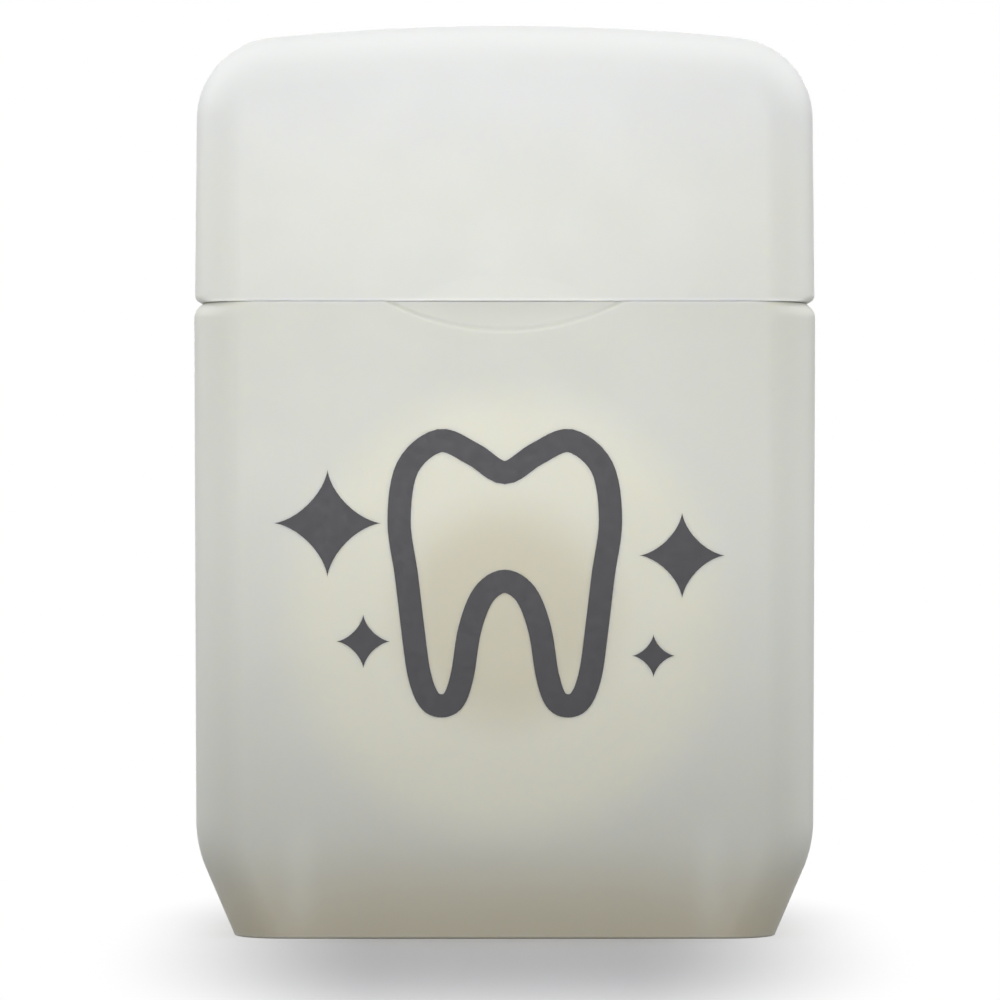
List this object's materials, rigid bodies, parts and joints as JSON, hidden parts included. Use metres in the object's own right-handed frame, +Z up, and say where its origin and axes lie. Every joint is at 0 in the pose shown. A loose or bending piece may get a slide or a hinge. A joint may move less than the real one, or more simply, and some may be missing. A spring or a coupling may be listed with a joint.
{
  "type": "dental floss dispenser",
  "caption": "Pocket flip-top floss dispenser: frosted case with domed hinged lid, snap-in frame, spool of waxed floss, thread outlet and steel cutter.",
  "frame": {"origin": "middle of the case's flat base, on the surface that it stands on", "axes": "+Z up, -Y out of the front face with the thumb scoop, +X to the right seen from the front"},
  "size_m": [0.035, 0.0155, 0.0512],
  "materials": {
    "natural_polypropylene": "frosted, milky natural polypropylene with a satin moulded skin",
    "white_polypropylene": "satin white polypropylene",
    "cutter_steel": "stamped stainless strip, fine rolling lines",
    "waxed_floss": "waxed twisted multifilament"
  },
  "bodies": {
    "case": {"case_body": "natural_polypropylene", "hinge_strap_left": "natural_polypropylene", "hinge_strap_right": "natural_polypropylene", "snap_in_frame": "white_polypropylene", "floss_cutter": "cutter_steel", "floss_strand": "waxed_floss"},
    "lid": {"flip_lid": "natural_polypropylene"},
    "spool": {"floss_spool": "white_polypropylene", "floss_winding": "waxed_floss", "floss_outer_turns": "waxed_floss"}
  },
  "joints": [
    {"name": "lid_hinge", "type": "hinge", "parent": "case", "child": "lid", "pos_m": [0, 0.0075, 0.03567], "axis": [-1, 0, 0], "range_deg": [0, 150], "deforming": ["hinge_strap_left", "hinge_strap_right"]},
    {"name": "spool_spin", "type": "hinge", "parent": "case", "child": "spool", "pos_m": [0, 0.00025, 0.018], "axis": [0, 1, 0], "continuous": true}
  ]
}
